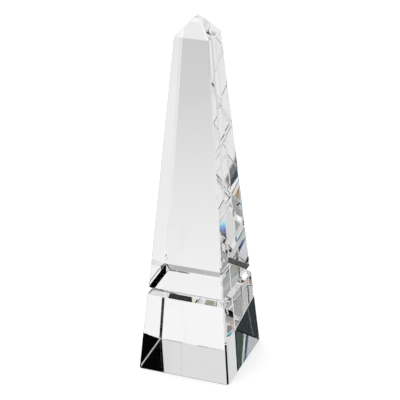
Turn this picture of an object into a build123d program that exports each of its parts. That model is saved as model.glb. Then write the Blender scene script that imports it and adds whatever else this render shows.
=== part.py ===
from build123d import *
import os

# Free-standing crystal obelisk award, in millimetres.
# A tall four-sided crystal column with a pyramid tip stands on a tapered square plinth of the
# same crystal. Both blocks are solid and polished. Each has a 45 degree bevel where they meet,
# which leaves a V groove all round, and a thin film of clear cured adhesive joins the two flat
# faces inside it. Every outer edge carries a narrow polished flat (an arris).
# Frame: +Z up, origin at the middle of the plinth's underside, front face towards -Y.

# Driving dimensions. Widths are those of the sharp outline, before the arrises are cut.
base_width = 63.5          # plinth, across its underside
overall_height = 241.3     # underside to tip
side_taper = 0.0866        # inward run per unit of height, on all eight side faces
plinth_shoulder_z = 54.5   # where the plinth's sides end and its top bevel starts
groove_leg = 2.6           # leg of the 45 degree bevel on each side of the V groove
column_step = 0.45         # how far the column's sides are set in from the plinth's side line
tip_base_z = 229.0         # where the column's sides end and the pyramid tip starts
tip_flat = 0.9             # width of the small flat that blunts the point
film_thickness = 0.1       # cured adhesive between the two blocks
film_margin = 0.4          # the film stops this far inside the column's foot
plinth_corner_arris = 1.0  # leg of the flat along each upright corner of the plinth
column_corner_arris = 0.9  # leg of the flat along each upright corner of the column
base_rim_arris = 0.5       # leg of the flat round the plinth's underside
rim_arris = 0.1            # leg of the flat along every other level edge

# Levels that follow from them
plinth_top_z = plinth_shoulder_z + groove_leg
column_foot_z = plinth_top_z + film_thickness
column_shoulder_z = column_foot_z + groove_leg


def plinth_line(z):
    """Half the width of the plinth's outline at height z, carried on up past the plinth."""
    return base_width / 2 - side_taper * z


def column_line(z):
    """Half the width of the column's outline at height z."""
    return plinth_line(z) - column_step


foot_half = column_line(column_shoulder_z) - groove_leg


def cut_rim(before, corner, after, arris=rim_arris):
    """The two ends of the narrow flat that replaces a corner of a (half width, z) outline."""
    ends = []
    for neighbour in (before, after):
        run = Vector(*neighbour) - Vector(*corner)
        end = Vector(*corner) + run.normalized() * arris
        ends.append((end.X, end.Y))
    return ends


def ring(half, z, corner_arris):
    """The eight points of a square section at height z with its corners cut off flat."""
    near = half - min(corner_arris, half * 2 / 3)
    points = [
        (half, -near), (half, near), (near, half), (-near, half),
        (-half, near), (-half, -near), (-near, -half), (near, -half),
    ]
    return [(x, y, z) for x, y in points]


def flat_face(points):
    """The flat face inside a closed run of straight edges."""
    return Face(Wire.make_polygon(points, close=True))


def flat_sided_block(outline, corner_arris):
    """A square block whose side outline is given bottom to top as (half width, z) points."""
    rings = [ring(half, z, corner_arris) for half, z in outline]
    faces = [flat_face(rings[0]), flat_face(rings[-1])]
    for low, high in zip(rings, rings[1:]):
        for side in range(8):
            beside = (side + 1) % 8
            faces.append(flat_face([low[side], low[beside], high[beside], high[side]]))
    return Solid(Shell(faces))


def plinth():
    """The tapered square block that the award stands on, with its bevelled top rim."""
    middle = (0, 0)
    base = (base_width / 2, 0)
    shoulder = (plinth_line(plinth_shoulder_z), plinth_shoulder_z)
    top = (plinth_line(plinth_shoulder_z) - groove_leg, plinth_top_z)
    rim = cut_rim(middle, base, shoulder, base_rim_arris)
    outline = [*rim, *cut_rim(base, shoulder, top), top]
    return flat_sided_block(outline, plinth_corner_arris)


def obelisk_column():
    """The tapered column with its bevelled foot and four-sided pyramid tip."""
    foot = (foot_half, column_foot_z)
    shoulder = (column_line(column_shoulder_z), column_shoulder_z)
    tip_base = (column_line(tip_base_z), tip_base_z)
    tip = (tip_flat / 2, overall_height)
    outline = [foot, *cut_rim(foot, shoulder, tip_base), *cut_rim(shoulder, tip_base, tip), tip]
    return flat_sided_block(outline, column_corner_arris)


def adhesive_film():
    """The clear film of cured adhesive between the plinth's top and the column's foot."""
    half = foot_half - film_margin
    return flat_sided_block([(half, plinth_top_z), (half, column_foot_z)], column_corner_arris)


os.makedirs("parts", exist_ok=True)
export_step(plinth(), "parts/plinth.step")
export_step(obelisk_column(), "parts/obelisk_column.step")
export_step(adhesive_film(), "parts/adhesive_film.step")
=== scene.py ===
import math

import bpy
from mathutils import Matrix, Vector


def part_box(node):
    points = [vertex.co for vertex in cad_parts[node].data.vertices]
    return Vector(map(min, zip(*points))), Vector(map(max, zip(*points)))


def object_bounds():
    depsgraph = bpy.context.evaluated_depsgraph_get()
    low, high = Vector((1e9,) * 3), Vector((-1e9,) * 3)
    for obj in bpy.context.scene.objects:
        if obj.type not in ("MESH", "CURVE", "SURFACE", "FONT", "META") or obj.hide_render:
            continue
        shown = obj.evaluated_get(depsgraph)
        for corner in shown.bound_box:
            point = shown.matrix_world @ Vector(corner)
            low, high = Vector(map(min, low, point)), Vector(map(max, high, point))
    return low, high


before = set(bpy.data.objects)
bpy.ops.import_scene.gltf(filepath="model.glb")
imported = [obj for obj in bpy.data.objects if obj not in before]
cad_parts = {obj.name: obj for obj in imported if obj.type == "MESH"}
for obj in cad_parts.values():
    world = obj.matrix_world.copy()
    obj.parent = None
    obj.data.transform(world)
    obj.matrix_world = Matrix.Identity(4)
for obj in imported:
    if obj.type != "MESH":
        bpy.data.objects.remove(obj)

cad_lo, cad_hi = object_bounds()
scene = bpy.context.scene


# ---------------------------------------------------------------- node helpers

class Nodes:
    """Builds one node tree. Each call adds a node and returns its output socket."""

    def __init__(self, tree):
        self.tree = tree
        tree.nodes.clear()

    def add(self, kind, **settings):
        node = self.tree.nodes.new(kind)
        for name, value in settings.items():
            setattr(node, name, value)
        return node

    def feed(self, socket, value):
        if isinstance(value, bpy.types.NodeSocket):
            self.tree.links.new(value, socket)
        else:
            socket.default_value = value

    def math(self, operation, *values, clamp=False):
        node = self.add("ShaderNodeMath", operation=operation, use_clamp=clamp)
        for socket, value in zip(node.inputs, values):
            self.feed(socket, value)
        return node.outputs[0]

    def ramp(self, value, low, high, to_low=0.0, to_high=1.0):
        """Goes smoothly from to_low at low to to_high at high, and stays level outside."""
        node = self.add("ShaderNodeMapRange", interpolation_type="SMOOTHSTEP", clamp=True)
        for socket, number in zip(node.inputs, (value, low, high, to_low, to_high)):
            self.feed(socket, number)
        return node.outputs[0]

    def curve(self, value, points):
        """Straight lines between (value, result) points."""
        result = points[0][1]
        for (x0, y0), (x1, y1) in zip(points, points[1:]):
            node = self.add("ShaderNodeMapRange", clamp=True)
            for socket, number in zip(node.inputs, (value, x0, x1, 0.0, y1 - y0)):
                self.feed(socket, number)
            result = self.math("ADD", result, node.outputs[0])
        return result

    def blend(self, share, first, second):
        node = self.add("ShaderNodeMix", data_type="FLOAT", clamp_factor=True)
        self.feed(node.inputs[0], share)
        self.feed(node.inputs[2], first)
        self.feed(node.inputs[3], second)
        return node.outputs[0]

    def mix_shader(self, share, first, second):
        node = self.add("ShaderNodeMixShader")
        self.feed(node.inputs[0], share)
        self.tree.links.new(first, node.inputs[1])
        self.tree.links.new(second, node.inputs[2])
        return node.outputs[0]


def new_material(name):
    material = bpy.data.materials.new(name)
    material.use_nodes = True
    return material, Nodes(material.node_tree)


# ---------------------------------------------------------------- crystal

# One index of refraction stands for all colours. The studio below adds the coloured fringes.
CRYSTAL_IOR = 1.52
ADHESIVE_IOR = 1.50
CRYSTAL_SHADOW = (0.86, 0.87, 0.88, 1)
ADHESIVE_SHADOW = (0.97, 0.97, 0.97, 1)
POLISH_SCALE = 14.0     # waves per metre left by the polishing
POLISH_DEPTH = 1.0e-5   # and their height, in metres
JOINT_SLACK = 1e-5

film_lo, film_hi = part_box("adhesive_film")


def bonded_share(n):
    """1 on the two faces that the adhesive film wets, and 0 elsewhere."""
    position = n.add("ShaderNodeNewGeometry").outputs["Position"]
    apart = n.add("ShaderNodeSeparateXYZ")
    n.feed(apart.inputs[0], position)
    x, y, z = apart.outputs
    inside_x = n.math("LESS_THAN", n.math("ABSOLUTE", x), film_hi.x)
    inside_y = n.math("LESS_THAN", n.math("ABSOLUTE", y), film_hi.y)
    middle = (film_lo.z + film_hi.z) / 2
    reach = (film_hi.z - film_lo.z) / 2 + JOINT_SLACK
    at_joint = n.math("LESS_THAN", n.math("ABSOLUTE", n.math("SUBTRACT", z, middle)), reach)
    return n.math("MULTIPLY", at_joint, n.math("MULTIPLY", inside_x, inside_y))


def clear_solid(name, ior, shadow_tint):
    """Clear glass that passes lamp light as a tint, and vanishes where the film wets it."""
    material, n = new_material(name)
    place = n.add("ShaderNodeTexCoord").outputs["Object"]

    waviness = n.add("ShaderNodeTexNoise")
    n.feed(waviness.inputs["Vector"], place)
    waviness.inputs["Scale"].default_value = POLISH_SCALE
    waviness.inputs["Detail"].default_value = 0.0
    bump = n.add("ShaderNodeBump")
    bump.inputs["Strength"].default_value = 1.0
    bump.inputs["Distance"].default_value = POLISH_DEPTH
    n.feed(bump.inputs["Height"], waviness.outputs[0])

    glass = n.add("ShaderNodeBsdfGlass")
    glass.inputs["Color"].default_value = (1, 1, 1, 1)
    glass.inputs["Roughness"].default_value = 0.0
    glass.inputs["IOR"].default_value = ior
    n.feed(glass.inputs["Normal"], bump.outputs[0])

    open_way = n.add("ShaderNodeBsdfTransparent")
    lamp_way = n.add("ShaderNodeBsdfTransparent")
    lamp_way.inputs["Color"].default_value = shadow_tint
    path = n.add("ShaderNodeLightPath")
    lit = n.mix_shader(path.outputs["Is Shadow Ray"], glass.outputs[0], lamp_way.outputs[0])
    surface = n.mix_shader(bonded_share(n), lit, open_way.outputs[0])
    out = n.add("ShaderNodeOutputMaterial")
    n.tree.links.new(surface, out.inputs["Surface"])
    return material


def dress_nodes():
    crystal = clear_solid("polished crystal", CRYSTAL_IOR, CRYSTAL_SHADOW)
    adhesive = clear_solid("cured adhesive", ADHESIVE_IOR, ADHESIVE_SHADOW)
    finishes = {"plinth": crystal, "obelisk_column": crystal, "adhesive_film": adhesive}
    for node, material in finishes.items():
        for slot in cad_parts[node].material_slots:
            slot.material = material


# ---------------------------------------------------------------- studio

# The studio round the crystal: white cards, dimmer cards and dark ribs in a black room. Only rays
# that met the crystal see it. Each card is (from azimuth, to azimuth, from elevation, to elevation,
# edge softness, colour), in degrees. Azimuth 0 is behind the award and grows to its right.
# A later card covers an earlier one, and one over 360 degrees wide goes all the way round.
ALL_ROUND = 400
BLACK_ROOM = (0.0008, 0.0009, 0.001)
CARDS = [
    # ceiling
    (-ALL_ROUND / 2, ALL_ROUND / 2, 53, 95, 1.0, (0.78, 0.78, 0.78)),
    # backdrop, with its crossbars
    (-44, 8, 30, 46.6, 0.4, (0.74, 0.74, 0.75)),
    (-44, 8, 19, 30, 0.4, (0.50, 0.51, 0.51)),
    (-44, 8, 26.7, 27.6, 0.25, (0.05, 0.055, 0.06)),
    (-44, 8, 24.0, 24.9, 0.25, (0.06, 0.09, 0.11)),
    (-17.8, 8, 24.9, 30, 0.4, (0.80, 0.80, 0.80)),
    (-20.15, 8, 30, 46.6, 0.1, (0.93, 0.93, 0.93)),
    (-44, -37, 41, 46.6, 0.4, (0.95, 0.95, 0.95)),
    (-44, 8, 9, 19, 0.8, (0.60, 0.60, 0.60)),
    (-44, 8, -1, 9, 2.0, (0.45, 0.46, 0.47)),
    (-10, -5, 6, 10.5, 0.4, (1.50, 1.50, 1.50)),
    # low and high cards in front, to the left
    (-178, -154, 13, 19.6, 0.3, (1.00, 1.00, 0.99)),
    (-178, -171.5, 23.7, 27, 0.3, (1.20, 1.20, 1.20)),
    # card stack in front, to the left, with a bright seam between two tinted ones
    (-171, -164.64, 19.8, 24, 0.06, (0.70, 0.73, 0.75)),
    (-164.64, -164.54, 19.8, 24, 0.03, (0.06, 0.09, 0.17)),
    (-164.54, -164.47, 19.8, 24, 0.015, (0.80, 0.85, 0.60)),
    (-164.46, -160, 19.8, 24, 0.03, (0.06, 0.095, 0.09)),
    (-159.5, -153, 38, 40.6, 0.4, (0.037, 0.046, 0.051)),
    (-169, -166, 27.7, 30.5, 0.2, (0.80, 0.80, 0.80)),
    (-163, -160.5, 31.5, 34.5, 0.2, (0.50, 0.51, 0.52)),
    # left bank, and the wall past it
    (-158, -145.2, 29.3, 37.6, 0.3, (0.85, 0.85, 0.83)),
    (-145.2, -137, 29.3, 35.7, 0.2, (0.92, 0.93, 0.95)),
    (-156, -150, 44.3, 48, 0.3, (0.95, 0.95, 0.95)),
    (-136, -70, 14, 46, 0.5, (0.80, 0.80, 0.80)),
    # behind, to the right
    (43.7, 47.9, 46.5, 49, 0.12, (0.80, 0.78, 0.72)),
    (39, 43.7, 46.5, 49, 0.12, (0.27, 0.26, 0.17)),
    (33, 40, 10, 15.3, 0.3, (0.50, 0.50, 0.50)),
    (50, 67, 24, 36, 0.5, (0.90, 0.90, 0.88)),
    # wall on the right, with brighter cards on it and past it
    (95, 135, 16, 45.5, 0.5, (0.85, 0.85, 0.85)),
    (126, 146, 17, 23.7, 0.5, (1.00, 1.00, 1.00)),
    (120, 126, 5, 13, 0.5, (1.30, 1.30, 1.30)),
    (146, 153, 29, 34.5, 0.5, (0.70, 0.92, 1.00)),
    (139, 146, 39, 43, 0.5, (1.00, 1.00, 1.00)),
    (153, 165, 47.5, 52.5, 0.5, (0.90, 0.88, 0.80)),
    (148.5, 152.5, 9, 11.6, 0.4, (0.50, 0.50, 0.50)),
    (157, 161, 11, 14.5, 0.3, (1.00, 1.00, 1.00)),
]


def studio_group(channel):
    """Brightness of the studio in one colour channel, for a direction given in degrees."""
    group = bpy.data.node_groups.new("studio brightness", "ShaderNodeTree")
    group.interface.new_socket("Azimuth", in_out="INPUT", socket_type="NodeSocketFloat")
    group.interface.new_socket("Elevation", in_out="INPUT", socket_type="NodeSocketFloat")
    group.interface.new_socket("Brightness", in_out="OUTPUT", socket_type="NodeSocketFloat")
    n = Nodes(group)
    azimuth, elevation = n.add("NodeGroupInput").outputs[:2]
    level = BLACK_ROOM[channel]
    for left, right, low, high, soft, colour in CARDS:
        above = n.ramp(elevation, low - soft, low + soft)
        below = n.ramp(elevation, high - soft, high + soft, 1.0, 0.0)
        share = n.math("MULTIPLY", above, below)
        half = (right - left) / 2
        if half < 180:
            # turned is how far the direction is from the card's middle, the short way round
            off = n.math("SUBTRACT", azimuth, left + half)
            turned = n.math("ABSOLUTE", n.math("WRAP", off, 180.0, -180.0))
            share = n.math("MULTIPLY", share, n.ramp(turned, half - soft, half + soft, 1.0, 0.0))
        level = n.blend(share, level, colour[channel])
    n.feed(n.add("NodeGroupOutput").inputs[0], level)
    return group


# Crystal bends blue light a little more than red, which shows after many bounces. In its place
# the studio is turned by this many degrees, one way for red and the other for blue, for each
# bounce past the fourth. Ray Depth counts one more than the bounces here.
FRINGE = 0.024
FREE_DEPTH = 5.0
FIRST_FRINGE = 0.3   # the least number of bounces that are counted so

WHITE = (1, 1, 1, 1)
FILL = 0.55           # brightness of the studio for the floor and for shadows


def make_world():
    world = bpy.data.worlds.new("studio")
    scene.world = world
    world.use_nodes = True
    n = Nodes(world.node_tree)
    apart = n.add("ShaderNodeSeparateXYZ")
    n.feed(apart.inputs[0], n.add("ShaderNodeTexCoord").outputs["Generated"])
    x, y, z = apart.outputs
    azimuth = n.math("DEGREES", n.math("ARCTAN2", x, y))
    elevation = n.math("DEGREES", n.math("ARCSINE", z))
    path = n.add("ShaderNodeLightPath")
    bounces = n.math("MAXIMUM", n.math("SUBTRACT", path.outputs["Ray Depth"], FREE_DEPTH), FIRST_FRINGE)
    colour = n.add("ShaderNodeCombineColor")
    for channel, way in enumerate((FRINGE, 0.0, -FRINGE)):
        shift = n.math("MULTIPLY", bounces, way)
        asked = n.add("ShaderNodeGroup", node_tree=studio_group(channel))
        n.feed(asked.inputs[0], n.math("ADD", azimuth, shift))
        n.feed(asked.inputs[1], n.math("ADD", elevation, shift))
        n.feed(colour.inputs[channel], asked.outputs[0])
    seen = n.add("ShaderNodeBackground")
    n.feed(seen.inputs["Color"], colour.outputs[0])
    plain = n.add("ShaderNodeBackground")
    plain.inputs["Color"].default_value = WHITE
    fill = n.add("ShaderNodeBackground")
    fill.inputs["Color"].default_value = WHITE
    fill.inputs["Strength"].default_value = FILL
    surface = n.mix_shader(path.outputs["Is Diffuse Ray"], seen.outputs[0], fill.outputs[0])
    surface = n.mix_shader(path.outputs["Is Shadow Ray"], surface, fill.outputs[0])
    surface = n.mix_shader(path.outputs["Is Camera Ray"], surface, plain.outputs[0])
    out = n.add("ShaderNodeOutputWorld")
    n.tree.links.new(surface, out.inputs["Surface"])


# ---------------------------------------------------------------- floor

FLOOR_HALF = 6.0
AIR_GAP = 0.0002         # under the plinth, which makes its underside mirror
FLOOR_COLOUR = (0.9, 0.9, 0.9, 1)
# The floor's reflection in the crystal's outer faces is a painted reflection: for reflected rays the
# floor glows at this fixed brightness instead of being lit.
MIRRORED_FLOOR = 0.015   # brightness of the floor in the crystal's outer faces

# Painted light and shade: brightness of the floor seen through the crystal, falling off by distance
# from the award's axis in metres
FLOOR_FALLOFF = [(0.0, 0.96), (0.070, 0.96), (0.098, 0.915), (0.238, 0.79), (0.375, 0.66),
                 (0.834, 0.50), (1.6, 0.42), (5.0, 0.38)]
# It is lifted towards the right and sunk at the far right: painted light as from the right side, and
# painted shade at the far right. Rightward is the sine of the bearing from behind the award, and inside
# NEAR it fades to nothing.
NEAR = 0.06
LIFT = 0.19
LIFT_RIGHTWARD = (-0.38, 0.32)
LIFT_REACH = (0.10, 0.38)
SINK = 0.09
SINK_RIGHTWARD = (0.75, 0.93)
# A painted contact shadow: a dark line on the floor under the plinth's rim, from just inside its edge
# to just outside it.
RIM_SHADE = 0.97
RIM_STARTS = (-0.0004, -0.0001)
RIM_ENDS = (0.0003, 0.0007)
# Painted shade: the floor is darkened under the plinth's back left corner.
CORNER_SHADE = 0.8
CORNER_X = (-0.025, -0.020)
CORNER_Y = (0.006, 0.014)
CORNER_EDGE = (-0.001, 0.0)


def darken(n, level, where, share):
    """Paints shade: takes a share of the level away where the mask is 1."""
    return n.math("MULTIPLY", level, n.math("SUBTRACT", 1.0, n.math("MULTIPLY", where, share)))


def floor_through_crystal(n):
    """Painted brightness of the floor where it is seen through the crystal: painted falloff, side light
    and shade, not lamp light.
    """
    apart = n.add("ShaderNodeSeparateXYZ")
    n.feed(apart.inputs[0], n.add("ShaderNodeNewGeometry").outputs["Position"])
    x, y, _ = apart.outputs
    reach = n.math("SQRT", n.math("ADD", n.math("MULTIPLY", x, x), n.math("MULTIPLY", y, y)))
    # painted light: the floor's glow falls off with distance from the award
    level = n.curve(reach, FLOOR_FALLOFF)
    rightward = n.math("DIVIDE", x, n.math("MAXIMUM", reach, NEAR))
    # painted side light towards the right, and painted shade at the far right
    lift = n.math("MULTIPLY", n.ramp(rightward, *LIFT_RIGHTWARD, 0.0, LIFT), n.ramp(reach, *LIFT_REACH))
    sink = n.ramp(rightward, *SINK_RIGHTWARD, 0.0, SINK)
    level = n.math("SUBTRACT", n.math("ADD", level, lift), sink)

    away = n.math("MAXIMUM", n.math("ABSOLUTE", x), n.math("ABSOLUTE", y))
    outside = n.math("SUBTRACT", away, cad_hi.x)
    # painted contact shadow along the plinth's rim
    rim = n.math("MULTIPLY", n.ramp(outside, *RIM_STARTS), n.ramp(outside, *RIM_ENDS, 1.0, 0.0))
    level = darken(n, level, rim, RIM_SHADE)
    # painted shade under the plinth's back left corner
    corner = n.math("MULTIPLY", n.ramp(x, *CORNER_X, 1.0, 0.0), n.ramp(y, *CORNER_Y))
    corner = n.math("MULTIPLY", corner, n.ramp(outside, *CORNER_EDGE, 1.0, 0.0))
    return darken(n, level, corner, CORNER_SHADE)


def floor_material():
    material, n = new_material("white table")
    material.cycles.emission_sampling = "NONE"
    # The floor seen through the crystal glows with painted light and shade instead of being lit by the
    # lamp.
    through = n.add("ShaderNodeEmission")
    n.feed(through.inputs["Strength"], floor_through_crystal(n))
    # painted reflection: the floor glows dimly for rays reflected off the crystal
    painted_reflection = n.add("ShaderNodeEmission")
    painted_reflection.inputs["Strength"].default_value = MIRRORED_FLOOR
    white = n.add("ShaderNodeBsdfDiffuse")
    white.inputs["Color"].default_value = FLOOR_COLOUR
    path = n.add("ShaderNodeLightPath")
    surface = n.mix_shader(path.outputs["Is Reflection Ray"], white.outputs[0], painted_reflection.outputs[0])
    surface = n.mix_shader(path.outputs["Is Transmission Ray"], surface, through.outputs[0])
    out = n.add("ShaderNodeOutputMaterial")
    n.tree.links.new(surface, out.inputs["Surface"])
    return material


def make_floor():
    corners = [(-1, -1), (1, -1), (1, 1), (-1, 1)]
    points = [(x * FLOOR_HALF, y * FLOOR_HALF, -AIR_GAP) for x, y in corners]
    mesh = bpy.data.meshes.new("floor")
    mesh.from_pydata(points, [], [(0, 1, 2, 3)])
    mesh.materials.append(floor_material())
    floor = bpy.data.objects.new("floor", mesh)
    scene.collection.objects.link(floor)


# ---------------------------------------------------------------- lamp and camera

LAMP_STRENGTH = 2.6
LAMP_SPREAD = math.radians(70)
LAMP_TILT = (math.radians(12), math.radians(-10), 0)

VIEW_AZIMUTH = math.radians(21.331)    # from the front, towards the award's right
VIEW_ELEVATION = math.radians(24.913)
YAW = math.radians(0.035)
PITCH = math.radians(0.303)
ROLL = math.radians(0.543)
VIEW_DISTANCE = 0.98565
AIM_SHARE = 0.5017                     # how far up the award the camera is aimed
SENSOR_WIDTH = 36.0
LENS = 137.3


def make_lamp():
    light = bpy.data.lights.new("overhead", "SUN")
    light.energy = LAMP_STRENGTH
    light.angle = LAMP_SPREAD
    lamp = bpy.data.objects.new("overhead", light)
    scene.collection.objects.link(lamp)
    lamp.rotation_euler = LAMP_TILT
    lamp.visible_glossy = False
    lamp.visible_transmission = False


def make_camera():
    """Looks at the award's axis from the front right, with a small turn off the aim."""
    aim = Vector((0, 0, cad_lo.z + AIM_SHARE * (cad_hi.z - cad_lo.z)))
    level = math.cos(VIEW_ELEVATION)
    back = Vector((math.sin(VIEW_AZIMUTH) * level, -math.cos(VIEW_AZIMUTH) * level,
                   math.sin(VIEW_ELEVATION)))
    right = (-back).cross(Vector((0, 0, 1))).normalized()
    up = right.cross(-back)
    facing = Matrix((right, up, back))
    turn = Matrix.Rotation(ROLL, 3, "Z") @ Matrix.Rotation(PITCH, 3, "X") @ Matrix.Rotation(YAW, 3, "Y")
    data = bpy.data.cameras.new("camera")
    data.sensor_width = SENSOR_WIDTH
    data.lens = LENS
    camera = bpy.data.objects.new("camera", data)
    scene.collection.objects.link(camera)
    place = Matrix.Translation(aim + back * VIEW_DISTANCE)
    camera.matrix_world = place @ (turn @ facing).transposed().to_4x4()
    scene.camera = camera


# ---------------------------------------------------------------- render settings

MOST_BOUNCES = 40   # a ray can cross the plinth and the column many times


def settle_view():
    scene.view_settings.view_transform = "Standard"
    scene.cycles.max_bounces = MOST_BOUNCES
    scene.cycles.transmission_bounces = MOST_BOUNCES
    scene.cycles.glossy_bounces = MOST_BOUNCES
    scene.cycles.transparent_max_bounces = MOST_BOUNCES
    scene.cycles.caustics_reflective = False
    scene.cycles.caustics_refractive = False


dress_nodes()
make_world()
make_floor()
make_lamp()
make_camera()
settle_view()
